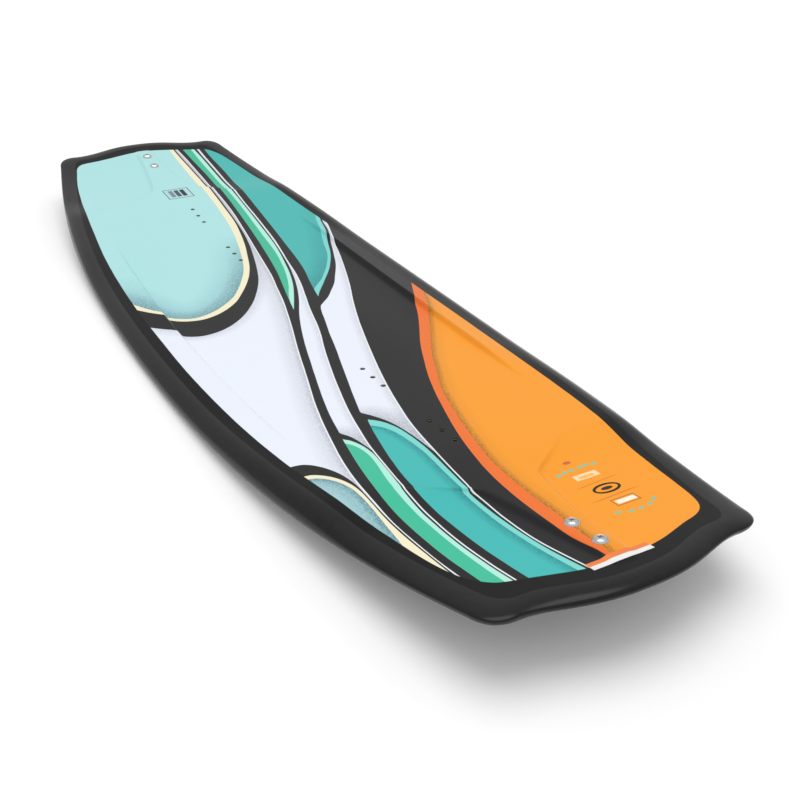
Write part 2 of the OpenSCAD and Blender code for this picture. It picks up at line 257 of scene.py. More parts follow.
def beside_step(station, share):
    """Share of the width at which a row runs, drawn to the step where there is one."""
    a = np.abs(station) * (HALF_LEN - RAIL_W)
    width = side_y(station * SIDE_END) - RAIL_W
    top = np.minimum(step_y(a) / width, 0.62)
    foot = top + STEP_RUN / width
    row, (first, second), last = np.abs(share), STEP_ROWS, LAST_PLAIN_ROW
    drawn = np.where(row < first, row / first * top, np.where(
        row < second, mix(top, foot, (row - first) / (second - first)),
        mix(foot, last, (row - second) / (last - second))))
    drawn = np.where(row < last, drawn, row)
    return np.sign(share) * mix(row, drawn, smooth(STEP_X - 90, STEP_X - 48, a))


def layer(name, stations, rows, top, thickness):
    """One layer of the stack: a grid laid on a surface and extruded down to the next."""
    deselect()
    bpy.ops.mesh.primitive_grid_add(
        x_subdivisions=len(stations) - 1, y_subdivisions=len(rows) - 1, size=2)
    piece = named(name)
    co = get_points(piece.data)
    station = np.interp(co[:, 0], np.linspace(-1, 1, len(stations)), stations)
    share = np.interp(co[:, 1], np.linspace(-1, 1, len(rows)), rows)
    share = beside_step(station, share)
    x, y = inner(station, share)
    set_points(piece.data, np.stack([x, y, top(x, y, np.abs(share))], 1) * MM)
    edit(piece, lambda: bpy.ops.mesh.extrude_region_move(
        TRANSFORM_OT_translate={"value": (0, 0, -thickness * MM)}), outward)
    return piece


def bolt_axis(x):
    """Point on the deck where a fin bolt goes in, the bolt's direction, and its tilt."""
    fin_x = math.copysign(FIN_X, x)
    rise = (deck_z(fin_x + 1, 0, 0) - deck_z(fin_x - 1, 0, 0)) / 2
    tilt = -math.atan(rise)
    foot = np.array([x, 0, float(deck_z(x, 0, 0))])
    return foot, np.array([math.sin(tilt), 0, math.cos(tilt)]), tilt


def along_bolt(x, height):
    """Point at a height over a washer's seat, along a fin bolt."""
    foot, up, tilt = bolt_axis(x)
    return foot + up * (height - SEAT_DEPTH)


def deck_holes(piece, seats):
    places = [(x, 0, float(deck_z(x, 0, 0)), INSERT_HOLE_D / 2, 14, 0) for x in INSERT_X]
    places += [(*along_bolt(x, -4), BOLT_HOLE_R, 14, bolt_axis(x)[2]) for x in BOLT_X]
    cut(piece, rods(places, "hole_cutter"))
    if seats:
        cut(piece, rods([(*along_bolt(x, 2.5), WASHER_D / 2, 5, bolt_axis(x)[2])
                         for x in BOLT_X], "seat_cutter", 64))


deck = layer("deck_sheet_print", STATIONS, ROWS, deck_z, SHEET_T)
deck_holes(deck, True)
finish_mesh(deck)

laminate = layer("deck_laminate_cloth", STATIONS[::2], ROWS[::2],
                 lambda x, y, share: deck_z(x, y, share) - SHEET_T, LAMINATE_T)
deck_holes(laminate, False)
finish_mesh(laminate)

base = layer("base_sheet_gloss", STATIONS[::2], ROWS[::2],
             lambda x, y, share: base_z(x) + SHEET_T, SHEET_T)
cut(base, rods([(*along_bolt(x, -16), BOLT_HOLE_R, 24, bolt_axis(x)[2]) for x in BOLT_X],
               "base_cutter"))
finish_mesh(base)


# ---------------------------------------------------------------- rail
def rail_lip(x, y):
    return mix(RAIL_LIP, mix(TIP_LIP, RAIL_LIP, smooth(60, 125, np.abs(y))),
               smooth(SIDE_END - 40, HALF_LEN - 18, np.abs(x)))


def wrap_rail():
    """The rail: a ring whose section is swept round the outline, closed on itself."""
    sides, ends = STATIONS[::2], ROWS[1:-1]
    stops = np.concatenate([
        np.stack([sides, -np.ones_like(sides)], 1), np.stack([np.ones_like(ends), ends], 1),
        np.stack([sides[::-1], np.ones_like(sides)], 1),
        np.stack([-np.ones_like(ends), ends[::-1]], 1)])
    over = np.radians(np.linspace(0, 90, 17))
    under = np.radians(np.linspace(0, 90, 9)[1:])
    ax, ay = inner(stops[:, 0], stops[:, 1])
    bx, by = outer(stops[:, 0], stops[:, 1])
    t = deck_t(ax, ay, np.abs(stops[:, 1]))
    lip = rail_lip(bx, by)
    round_share = np.minimum(RAIL_ROUND, 1.2 * lip) / RAIL_W
    across = [np.zeros_like(t)] + [np.full_like(t, np.sin(g)) for g in over]
    height = [np.zeros_like(t)] + [mix(lip, t, np.cos(g)) for g in over]
    across += [1 - round_share * (1 - np.cos(g)) for g in under]
    height += [lip * (1 - np.sin(g)) for g in under]
    across, height = np.stack(across, 1), np.stack(height, 1)
    x = mix(ax[:, None], bx[:, None], across)
    y = mix(ay[:, None], by[:, None], across)
    # The fine curve would rise a hair over the model's own facets at the tips
    z = np.minimum(base_z(x) + height, cad_box[1][2] / MM - 0.005)
    piece = wrapped("rail_moulding", np.stack([x, y, z], 2))
    finish_mesh(piece, 40)
    return piece


rail = wrap_rail()


# ---------------------------------------------------------------- fins, bolts, washers
def sphere_as(name, segments, rings, shape):
    """A closed piece made from a ball: shape gives points from (ring 0..1, turn)."""
    deselect()
    bpy.ops.mesh.primitive_uv_sphere_add(segments=segments, ring_count=rings, radius=1)
    piece = named(name)
    co = get_points(piece.data)
    ring = np.arccos(np.clip(co[:, 2], -1, 1)) / np.pi
    turn = np.arctan2(co[:, 1], co[:, 0])
    set_points(piece.data, shape(ring, turn) * MM)
    edit(piece, outward)
    return piece


FIN_LEN, FIN_DEPTH, FIN_T, FIN_EDGE_T, FIN_BED = 112.0, 30.0, 12.0, 4.0, 0.1


def fin_shape(side):
    def shape(ring, turn):
        s = -np.cos(ring * np.pi)
        level = np.clip(0.5 - 0.62 * np.sin(turn), 0, 1)
        half = (mix(FIN_T, FIN_EDGE_T, smooth(0, 0.8, level)) / 2
                * np.sqrt(np.maximum(1 - s ** 4, 0)))
        half = half * np.sqrt(np.maximum(1 - (np.maximum(level - 0.9, 0) / 0.105) ** 2, 0.01))
        flat = np.clip(np.cos(turn) / math.cos(math.asin(0.5 / 0.62)), -1, 1)
        reach = FIN_DEPTH * np.maximum(1 - np.abs(s) ** 2.4, 0) ** 0.62
        x = side * FIN_X + s * FIN_LEN / 2
        return np.stack([x, half * flat, base_z(x) - FIN_BED - level * reach], 1)
    return shape


def nut_top(x):
    """Height of a fin nut's top over the washer's seat, along its bolt."""
    thick = float(deck_t(x, 0, 0)) + FIN_BED
    return -(thick * math.cos(bolt_axis(x)[2]) - SEAT_DEPTH) - 1


fins = []
for side, end in ((1, "nose"), (-1, "tail")):
    fin = sphere_as(end + "_fin_blade", 56, 72, fin_shape(side))
    cut(fin, rods([(*along_bolt(x, nut_top(x) - 4), 4, 16, bolt_axis(x)[2])
                   for x in BOLT_X if x * side > 0], "nut_cutter", 48))
    finish_mesh(fin, 50)
    fins.append(fin)


def lathe(name, profile, x, sides=72):
    """Turned part on a fin bolt's line: its section swept round the line."""
    turn = np.linspace(0, 2 * np.pi, sides, endpoint=False)[:, None, None]
    radius, height = np.array(profile, float).T[:, None, :, None]
    up, tilt = bolt_axis(x)[1:]
    side_way = np.array([math.cos(tilt), 0, -math.sin(tilt)])
    return wrapped(name, along_bolt(x, 0) + radius * np.cos(turn) * side_way
                   + radius * np.sin(turn) * np.array([0, 1, 0]) + height * up)


WASHER = [(3.3, 0), (7.0, 0), (7.5, 0.15), (7.5, 0.5), (7.42, 0.8), (7.2, 1.15), (6.9, 1.6),
          (6.55, 2.1), (6.3, 2.42), (6.1, 2.56), (5.9, 2.6), (5.6, 2.36), (4.6, 1.36), (3.6, 0.4)]
HEAD = [(0, 3.8), (1.1, 3.76), (2.2, 3.62), (3.2, 3.4), (4.2, 3.14), (5.0, 2.88), (5.5, 2.66),
        (5.62, 2.5), (5.5, 2.24), (3.3, 0.04), (3.0, -0.3)]
# Length, width and depth of the cutter of one slot of a bolt's cross recess
RECESS = (5.4, 1.2, 3.4)


def bolt(x, name):
    drop = -nut_top(x)
    tip = nut_top(x) - BOLT_REACH + 0.8
    profile = HEAD + [(BOLT_R, -drop), (THREAD_R, -drop), (THREAD_R, tip + 0.7),
                      (THREAD_R - 0.7, tip), (0, tip)]
    piece = lathe(name, profile, x)
    tilt = bolt_axis(x)[2]
    for turn in (0.6, 0.6 + math.pi / 2):
        deselect()
        bpy.ops.mesh.primitive_cube_add(size=1, location=along_bolt(x, 3.6) * MM)
        recess = named("recess_cutter")
        recess.rotation_mode = "QUATERNION"
        recess.rotation_quaternion = (Quaternion((0, 1, 0), tilt) @ Quaternion((0, 0, 1), turn))
        recess.scale = Vector(RECESS) * MM
        edit(recess, lambda: bpy.ops.mesh.subdivide(number_cuts=2))
        bpy.ops.object.transform_apply(location=True, rotation=True, scale=True)
        cut(piece, recess)
    return piece


bolts, washers = [], []
for side, end in ((1, "nose"), (-1, "tail")):
    places = [x for x in BOLT_X if x * side > 0]
    pair = joined([bolt(x, end + "_bolt") for x in places], end + "_fin_bolt_heads")
    finish_mesh(pair, 40)
    bolts.append(pair)
    cups = [lathe(end + "_cup", WASHER, x) for x in places]
    pair = joined(cups, end + "_fin_cup_washers")
    finish_mesh(pair, 40)
    washers.append(pair)


# ---------------------------------------------------------------- label
LABEL_X, LABEL_LEN, LABEL_W, LABEL_T = 646.05, 11.5, 63.0, 0.3


def flat_mark(name, x, y, length, width, turn, lift, thickness, cuts=8):
    """A thin printed or stuck shape laid on the deck."""
    deselect()
    bpy.ops.mesh.primitive_grid_add(x_subdivisions=cuts, y_subdivisions=cuts, size=1)
    piece = named(name)
    co = get_points(piece.data)
    u, v = co[:, 0] * length, co[:, 1] * width
    px = x + u * math.cos(turn) - v * math.sin(turn)
    py = y + u * math.sin(turn) + v * math.cos(turn)
    set_points(piece.data, np.stack([px, py, deck_z(px, py, 0) + lift], 1) * MM)
    edit(piece, lambda: bpy.ops.mesh.extrude_region_move(
        TRANSFORM_OT_translate={"value": (0, 0, -thickness * MM)}), outward)
    return piece


label = flat_mark("nose_label_strip", LABEL_X, 0, LABEL_LEN, LABEL_W, 0, LABEL_T, LABEL_T, 24)
finish_mesh(label)

# ---------------------------------------------------------------- printed artwork
# Every shape of the print is a closed line through listed points on the deck, in
# millimetres from the middle of the board. A list of points is drawn as one smooth
# line, and the lists of a shape meet in corners.
FAR = 260
SHAPES = {
    "field": [[
        (651, 0), (649, 18), (646, 35), (643, 50), (638, 66), (633, 82), (629, 98), (624, 108),
        (616, 116), (600, 123), (570, 130), (500, 142), (440, 153), (360, 165), (280, 173),
        (200, 178), (100, 181.5), (0, 182), (-100, 181.5), (-200, 178), (-280, 173),
        (-360, 165), (-440, 156), (-500, 148), (-560, 138), (-600, 128), (-616, 120),
        (-627, 111), (-632, 98), (-635, 82), (-640, 62), (-646, 35), (-649, 18), (-651, 0),
        (-649, -18), (-646, -35), (-640, -62), (-636, -82), (-634, -98), (-631, -112),
        (-622, -121), (-600, -128), (-560, -138), (-500, -148), (-440, -156), (-360, -165),
        (-280, -173), (-200, -178), (-100, -181.5), (0, -182), (100, -181.5), (200, -178),
        (280, -173), (360, -165), (440, -153), (500, -142), (570, -130), (600, -121),
        (613, -112.5), (621, -104), (626, -92), (630, -79.5), (635, -66), (640, -52),
        (643.5, -42), (646, -32), (649, -18), (651, 0)]],
    "cream": [
        [(-700, 53), (-640, 54), (-560, 57), (-480, 55.5), (-400, 50), (-320, 43), (-240, 26),
         (-200, 14), (-160, 1), (-120, -18), (-80, -44), (-60, -60), (-44, -80), (-36, -97),
         (-33, -115), (-38, -135), (-46, -148), (-60, -160), (-95, -181), (-150, -205)],
        [(-150, -FAR), (-700, -FAR)]],
    "pale": [
        [(-700, 47), (-640, 47), (-560, 47), (-480, 45), (-400, 40), (-320, 32), (-280, 25),
         (-240, 16), (-200, 5), (-160, -8), (-120, -28), (-100, -40), (-80, -54), (-62, -73),
         (-48, -95), (-42, -117), (-44, -130), (-57, -150), (-80, -166), (-112, -180),
         (-160, -200)],
        [(-160, -FAR), (-700, -FAR)]],
    "over_wide": [
        [(-700, 54), (-640, 56.5), (-560, 59.5), (-480, 58), (-400, 53), (-300, 43.5),
         (-240, 33), (-200, 23), (-160, 11.5), (-120, -2), (-80, -21), (-40, -46), (-10, -73),
         (6, -97), (12, -120), (11, -135), (4, -150), (-12, -163), (-38, -182), (-80, -205)],
        [(-80, -FAR), (700, -FAR), (700, FAR), (-700, FAR)]],
    "under_wide": [
        [(-700, 58), (-640, 61), (-600, 64), (-520, 64), (-440, 60), (-360, 55), (-280, 44.5),
         (-200, 32), (-120, 18.5), (-80, 9), (-40, 0), (0, -11), (50, -26), (100, -42),
         (180, -66), (260, -90), (340, -109.5), (380, -118), (420, -123.7), (460, -125.6),
         (500, -126), (540, -125), (566, -124.2), (620, -121)],
        [(620, -FAR), (-700, -FAR)]],
    "clear_leaf": [
        [(700, -120), (600, -124), (500, -127), (440, -127.4), (422, -127), (410, -128),
         (395, -130.5), (380, -136), (368, -143), (360, -151), (357, -160), (359, -190)],
        [(359, -FAR), (-700, -FAR), (-700, FAR), (700, FAR)]],
    "over_green": [
        [(-700, 70), (-640, 70), (-600, 72), (-540, 74), (-480, 72), (-400, 66.5), (-320, 59),
         (-240, 49), (-160, 36), (-120, 28), (-80, 18), (-40, 8), (-5, 0), (30, -8)],
        [(30, FAR), (-700, FAR)]],
    "under_green": [
        [(-700, 88), (-640, 89), (-600, 91), (-560, 91), (-480, 88), (-400, 83), (-320, 77),
         (-240, 69), (-200, 63), (-160, 54.5), (-120, 45), (-80, 32.5), (-40, 16), (-20, 7),
         (-5, 0), (30, -20)],
        [(30, -FAR), (-700, -FAR)]],
    "mint_far": [
        [(-700, 83), (-600, 84), (-520, 83), (-440, 79), (-360, 74), (-280, 66), (-200, 57),
         (-160, 49.5), (-120, 39.5), (-80, 26), (-50, 13), (0, -4)],
        [(0, FAR), (-700, FAR)]],
    "over_mid": [
        [(-700, 93), (-600, 94.5), (-560, 94.5), (-480, 91.5), (-400, 85), (-320, 79.5),
         (-240, 71), (-160, 58), (-120, 49), (-80, 37.5), (-40, 23), (20, -3), (80, -25),
         (160, -50), (240, -74), (280, -84.5), (318, -93)],
        [(318, -93), (330, -87), (345, -84), (362, -82.3), (380, -80.5), (420, -77),
         (500, -70)],
        [(700, -60), (700, FAR), (-700, FAR)]],
    "under_mid": [
        [(-700, 97), (-600, 98), (-560, 98), (-480, 94.5), (-400, 87.5), (-320, 82),
         (-240, 74), (-200, 67.5), (-160, 60), (-120, 53.5), (-80, 44.5), (-40, 33), (0, 21),
         (50, 8), (80, -1), (120, -15), (200, -40), (280, -62), (320, -71), (360, -79),
         (400, -84.5), (440, -89.3), (480, -91.8), (540, -92.8), (600, -90.3), (700, -84)],
        [(700, -FAR), (-700, -FAR)]],
    "over_teal": [
        [(-700, 106), (-600, 107), (-540, 108), (-480, 105), (-400, 99.5), (-320, 93),
         (-240, 85), (-160, 75), (-120, 68), (-80, 58), (-45, 50), (-28, 46.5), (0, 40)],
        [(0, FAR), (-700, FAR)]],
    "under_teal": [
        [(0, 32), (-28, 46.5), (-45, 57), (-60, 68), (-80, 82), (-100, 96), (-120, 108.5),
         (-160, 129), (-200, 144), (-240, 159), (-280, 170), (-320, 184), (-360, 200)],
        [(-360, FAR), (-700, FAR), (-700, -FAR), (0, -FAR)]],
    "aqua_far": [
        [(-45, 47), (-57, 55), (-80, 76), (-100, 90), (-120, 103), (-160, 124), (-200, 137),
         (-240, 151), (-280, 163), (-330, 182)],
        [(-330, FAR), (0, FAR), (0, 47)]],
    "over_high": [
        [(-330, 205), (-285, 175), (-240, 163), (-200, 149), (-160, 134), (-120, 118),
         (-80, 97), (-60, 86), (-40, 72), (-20, 57), (-10, 47), (0, 37)],
        [(0, 37), (6, 34), (20, 29), (50, 20), (80, 10.5), (120, -1), (160, -13.5),
         (240, -38.5), (287, -53)],
        [(287, -53), (295, -48), (305, -43), (320, -37), (340, -33), (360, -31.4),
         (380, -30.8), (410, -30.5), (460, -27)],
        [(700, 0), (700, FAR), (-330, FAR)]],
    "under_high": [
        [(-700, 176), (-330, 176), (-285, 176), (-260, 173), (-240, 167), (-200, 154), (-160, 143),
         (-120, 130), (-80, 116), (-40, 101), (0, 84.5), (60, 62), (100, 48.5), (180, 23),
         (220, 11), (260, 0), (300, -10), (340, -19), (380, -25.5), (420, -31.2),
         (460, -36), (478, -38)],
        [(478, -38), (483, -39), (488, -37.2), (540, -38), (580, -37.2), (620, -33.2),
         (700, -24)],
        [(700, -FAR), (-700, -FAR)]],
    "teal_near": [
        [(305, -54), (311, -48), (320, -42), (338, -36), (360, -33.6), (380, -33.3),
         (400, -34.2), (440, -38), (480, -41.5), (540, -42), (600, -39), (660, -33)],
        [(660, -78), (600, -81), (560, -83), (500, -84), (440, -82), (400, -76), (360, -67.5),
         (320, -58), (305, -54)]],
    "teal_core": [
        [(318, -58.5), (325, -52), (333, -47), (345, -43), (365, -40.5), (400, -40),
         (440, -43.5), (475, -46), (540, -47.5), (600, -44.5), (660, -40)],
        [(660, -FAR), (290, -FAR)]],
    "green_near": [
        [(330, -96), (338, -91), (350, -86.5), (362, -84.6), (375, -84.2), (410, -88),
         (447, -93), (480, -95.5), (540, -96.2), (600, -93.5), (660, -89.5)],
        [(660, -111), (600, -113.5), (560, -116), (480, -117), (440, -115), (400, -109.5),
         (360, -102), (330, -96)]],
    "green_core": [
        [(340, -98.5), (350, -92.5), (365, -89.5), (385, -90), (440, -99), (520, -101),
         (600, -99), (660, -96)],
        [(660, -FAR), (310, -FAR)]],
    "leaf": [
        [(383, -200), (381, -165), (382, -155), (388, -147), (396, -140), (410, -133),
         (428, -129.3), (480, -129), (520, -128.6), (552, -127.2)],
        [(590, -126), (600, -FAR), (383, -FAR)]],
    "leaf_core": [
        [(390, -200), (388, -163), (390, -155), (396, -147), (406, -140), (420, -135),
         (440, -132.5), (470, -132.6), (500, -134.5), (540, -139), (600, -150)],
        [(600, -FAR), (390, -FAR)]],
    "coral": [
        [(-60, 206), (-20, 186), (0, 176), (40, 157), (80, 139), (120, 118), (160, 96),
         (200, 77), (240, 59), (280, 43.5), (320, 30), (360, 17), (390, 8), (420, 0.5),
         (460, -7.5), (500, -12), (560, -14.5), (600, -14.5), (640, -10), (700, 0)],
        [(700, FAR), (-60, FAR)]],
    "orange": [
        [(-20, 200), (20, 182), (40, 173), (80, 155), (100, 144), (140, 122), (200, 89),
         (240, 71), (280, 53), (300, 46), (360, 28), (400, 17.5), (440, 8), (480, 3),
         (520, 0.5), (560, -0.5), (600, -4.5), (640, -5), (700, 0)],
        [(700, FAR), (-20, FAR)]],
}


def smooth_line(points, step=5.0):
    """Points about 5 mm apart on the smooth line through the given ones."""
    p = np.array(points, float)
    if len(p) < 3:
        return p
    p = np.vstack([2 * p[0] - p[1], p, 2 * p[-1] - p[-2]])
    knots = np.concatenate([[0], np.cumsum(np.linalg.norm(np.diff(p, axis=0), axis=1) ** 0.5)])
    line = [p[1]]
    for i in range(1, len(p) - 2):
        t0, t1, t2, t3 = knots[i - 1:i + 3]
        count = max(2, int(np.linalg.norm(p[i + 1] - p[i]) / step))
        t = np.linspace(t1, t2, count + 1)[1:, None]
        a1 = (t1 - t) / (t1 - t0) * p[i - 1] + (t - t0) / (t1 - t0) * p[i]
        a2 = (t2 - t) / (t2 - t1) * p[i] + (t - t1) / (t2 - t1) * p[i + 1]
        a3 = (t3 - t) / (t3 - t2) * p[i + 1] + (t - t2) / (t3 - t2) * p[i + 2]
        b1 = (t2 - t) / (t2 - t0) * a1 + (t - t0) / (t2 - t0) * a2
        b2 = (t3 - t) / (t3 - t1) * a2 + (t - t1) / (t3 - t1) * a3
        line += list((t2 - t) / (t2 - t1) * b1 + (t - t1) / (t2 - t1) * b2)
    return np.array(line)


def edge_distance(places, shape):
    """Distance of each place from the edge of a shape, above zero inside it."""
    loop = np.vstack([smooth_line(part) for part in shape])
    nearest = np.full(len(places), 1e9)
    inside = np.zeros(len(places), bool)
    x, y = places[:, 0], places[:, 1]
    for a, b in zip(loop, np.roll(loop, -1, axis=0)):
        run = b - a
        length = run @ run
        if length < 1e-9:
            continue
        k = np.clip(((x - a[0]) * run[0] + (y - a[1]) * run[1]) / length, 0, 1)
        nearest = np.minimum(nearest, (x - a[0] - k * run[0]) ** 2 + (y - a[1] - k * run[1]) ** 2)
        if abs(run[1]) > 1e-9:
            crosses = (a[1] > y) != (b[1] > y)
            inside ^= crosses & (x < a[0] + (y - a[1]) / run[1] * run[0])
    return np.where(inside, 1, -1) * np.sqrt(nearest)


places = get_points(deck.data)[:, :2] / MM
for name, shape in SHAPES.items():
    distance = edge_distance(places, shape).astype(np.float32)
    deck.data.attributes.new(name, "FLOAT", "POINT").data.foreach_set("value", distance)


# ---------------------------------------------------------------- materials
def colour(code):
    """Linear RGBA from an sRGB hex colour."""
    parts = [int(code[i:i + 2], 16) / 255 for i in (0, 2, 4)]
    return tuple(c / 12.92 if c <= 0.04045 else ((c + 0.055) / 1.055) ** 2.4 for c in parts) + (1,)


def add(tree, kind, inputs=None, **settings):
    """Add one node with its settings, and set or link its sockets."""
    node = tree.nodes.new("ShaderNode" + kind)
    for name, value in settings.items():
        setattr(node, name, value)
    for name, value in (inputs or {}).items():
        if isinstance(value, bpy.types.NodeSocket):
            tree.links.new(value, node.inputs[name])
        else:
            node.inputs[name].default_value = value
    return node


def material(name):
    made = bpy.data.materials.new(name)
    made.use_nodes = True
    made.node_tree.nodes.clear()
    return made, made.node_tree


def close(tree, bsdf):
    add(tree, "OutputMaterial", {"Surface": bsdf.outputs["BSDF"]})


def printed_deck():
    """Polyester top sheet, printed from behind and under a satin clear coat: flat even
    inks with airbrushed shade along some edges, and the faint orange peel of the coat."""
    made, tree = material("printed_top_sheet")
    place = add(tree, "TexCoord").outputs["Object"]
    # Grain of the airbrush: specks 2 mm long, drawn out along the flow of the bands
    turned = add(tree, "Mapping", {"Vector": place, "Rotation": (0, 0, 0.45),
                                   "Scale": (260, 620, 260)}).outputs["Vector"]
    grain = add(tree, "TexNoise", {"Vector": turned, "Scale": 1, "Detail": 4,
                                   "Roughness": 0.7}).outputs["Fac"]
    # Hand-drawn wobble of the ink edges, 25 mm long and a quarter of a millimetre high
    wave = add(tree, "TexNoise", {"Vector": place, "Scale": 40, "Detail": 2}).outputs["Fac"]
    wobble = add(tree, "MapRange", {"Value": wave, "To Min": -0.25, "To Max": 0.25}).outputs[0]
    edges = {}
    for name in SHAPES:
        read = add(tree, "Attribute", attribute_type="GEOMETRY", attribute_name=name)
        edges[name] = add(tree, "Math", {0: read.outputs["Fac"], 1: wobble},
                          operation="ADD").outputs[0]
    # Black ground of the print, with the slow cloudiness of a dense ink
    cloud = add(tree, "TexNoise", {"Vector": place, "Scale": 6, "Detail": 2}).outputs["Fac"]
    ink = add(tree, "Mix", {"Factor": cloud, "A": colour("222223"), "B": colour("2a2a2c")},
              data_type="RGBA").outputs["Result"]
    # Inks and shades in the order of printing
    for code, strength, brushed, limits in PRINT:
        fade = strength
        for name, start, full in limits:
            part = add(tree, "MapRange", {"Value": edges[name], "From Min": start,
                                          "From Max": full}).outputs[0]
            fade = add(tree, "Math", {0: part, 1: fade}, operation="MULTIPLY").outputs[0]
        if brushed:
            broken = add(tree, "MapRange", {"Value": grain, "From Min": 0.36, "From Max": 0.62,
                                            "To Min": 1 - brushed, "To Max": 1}).outputs[0]
            fade = add(tree, "Math", {0: fade, 1: broken}, operation="MULTIPLY").outputs[0]
        ink = add(tree, "Mix", {"Factor": fade, "A": ink, "B": colour(code)},
                  data_type="RGBA").outputs["Result"]
    ink = printed_marks(tree, place, ink)
    field = add(tree, "MapRange", {"Value": edges["field"], "From Min": -0.2,
                                   "From Max": 0.2}).outputs[0]
    ground = add(tree, "Mix", {"Factor": cloud, "A": colour("101011"), "B": colour("161617")},
                 data_type="RGBA").outputs["Result"]
    ink = add(tree, "Mix", {"Factor": field, "A": ground, "B": ink},
              data_type="RGBA").outputs["Result"]
    peel = add(tree, "TexNoise", {"Vector": place, "Scale": 700, "Detail": 1}).outputs["Fac"]
    bump = add(tree, "Bump", {"Height": peel, "Strength": 0.12, "Distance": 0.00012})
    gloss = add(tree, "MapRange", {"Value": cloud, "From Min": 0.3, "From Max": 0.7,
                                   "To Min": 0.22, "To Max": 0.28}).outputs[0]
    close(tree, add(tree, "BsdfPrincipled", {
        "Base Color": ink, "Roughness": gloss, "IOR": 1.46, "Specular IOR Level": 0.12,
        "Normal": bump.outputs["Normal"]}))
    return made


def printed_marks(tree, place, ink):
    """Small marks over the bands, each painted on the ones before it."""
    for code, kind, x, y, half_x, half_y, turn in MARKS:
        spot = add(tree, "Mapping", {
            "Vector": place, "Location": (x * MM, y * MM, 0), "Rotation": (0, 0, turn),
            "Scale": (half_x * MM, half_y * MM, 1000)}, vector_type="TEXTURE").outputs["Vector"]
        if kind == "box":
            sides = add(tree, "SeparateXYZ", {
                "Vector": add(tree, "VectorMath", {0: spot}, operation="ABSOLUTE").outputs[0]})
            reach = add(tree, "Math", {0: sides.outputs["X"], 1: sides.outputs["Y"]},
                        operation="MAXIMUM").outputs[0]
        else:
            reach = add(tree, "VectorMath", {0: spot}, operation="LENGTH").outputs["Value"]
        soft = 0.2 / min(half_x, half_y)
        fade = add(tree, "MapRange", {"Value": reach, "From Min": 1 + soft,
                                      "From Max": 1 - soft}).outputs[0]
        ink = add(tree, "Mix", {"Factor": fade, "A": ink, "B": colour(code)},
                  data_type="RGBA").outputs["Result"]
    return ink


def within(*names):
    """Limits that keep a colour inside all the named shapes, up to a crisp edge."""
    return [(name, -0.2, 0.25) for name in names]


WIDE = within("over_wide", "under_wide", "clear_leaf")
MID, HIGH = within("over_mid", "under_mid"), within("over_high", "under_high")
GREEN, TEAL = within("over_green", "under_green"), within("over_teal", "under_teal")
PALE_TIP = within("pale") + [("teal_near", -590, -430)]
LEAF, TEAL_NEAR = within("leaf", "leaf_core"), within("teal_near", "teal_core")
ORANGE = within("coral", "orange")
# Colour, strength, how far the grain breaks it up, and its limits: each a shape and the
# distances from the shape's edge, in mm, at which the colour is gone and at full
PRINT = [
    ("f4eccb", 1, 0, within("cream")),
    ("afe1e1", 1, 0, within("pale")),
    ("8dbcc4", 0.8, 0.5, PALE_TIP + [("pale", 52, 12)]),
    ("557f8a", 0.8, 0.7, PALE_TIP + [("pale", 24, 1)]),
    ("e9eef9", 1, 0, WIDE),
    ("c3c6ce", 0.8, 0.5, WIDE + [("under_wide", 26, 2)]),
    ("999ca8", 0.7, 0.8, WIDE + [("under_wide", 8, 0)]),
    ("b9bcc6", 0.7, 0.7, WIDE + [("over_wide", 15, 0)]),
    ("f1f4f6", 1, 0, [("under_wide", -0.2, 0.2), ("under_wide", 1.7, 1.3),
                      ("clear_leaf", -0.2, 0.2)]),
    ("46bb98", 1, 0, GREEN),
    ("b4ecdb", 1, 0, GREEN + within("mint_far")),
    ("e9eef9", 1, 0, MID),
    ("b4b7c1", 0.7, 0.7, MID + [("under_mid", 10, 0)]),
    ("8f939f", 0.7, 0.6, MID + [("green_near", -32, -4)]),
    ("f1f4f6", 1, 0, [("under_mid", -0.2, 0.2), ("under_mid", 1.7, 1.3)]),
    ("4bb7b2", 1, 0, TEAL),
    ("2f7d84", 0.8, 0.6, TEAL + [("under_teal", 32, 7), ("over_teal", 90, 10)]),
    ("7fd6d0", 1, 0, TEAL + within("aqua_far")),
    ("e9eef9", 1, 0, HIGH),
    ("b4b7c1", 0.7, 0.7, HIGH + [("under_high", 12, 0)]),
    ("8f939f", 0.75, 0.6, HIGH + [("teal_near", -36, -5)]),
    ("f1f4f6", 1, 0, [("under_high", -0.2, 0.2), ("under_high", 1.7, 1.3)]),
    ("7fd8cf", 1, 0, within("teal_near")),
    ("46bab6", 1, 0, TEAL_NEAR),
    ("2a7f85", 0.8, 0.6, TEAL_NEAR + [("over_mid", 50, 38), ("teal_core", 11, 1)]),
    ("b4ecdb", 1, 0, within("green_near")),
    ("45bf9b", 1, 0, within("green_near", "green_core")),
    ("f4eccb", 1, 0, within("leaf")),
    ("a9d2d7", 1, 0, LEAF),
    ("6f9aa4", 0.8, 0.8, LEAF + [("leaf_core", 24, 4)]),
    ("54808b", 0.8, 0.7, LEAF + [("leaf_core", 7, 1)]),
    ("ee7634", 1, 0, within("coral")),
    ("f79e2d", 1, 0, ORANGE),
    ("d98a30", 0.6, 0.6, ORANGE + [("orange", 20, 3)]),
    ("7f5a25", 0.85, 0.8, ORANGE + [("orange", 8, 1)]),
]
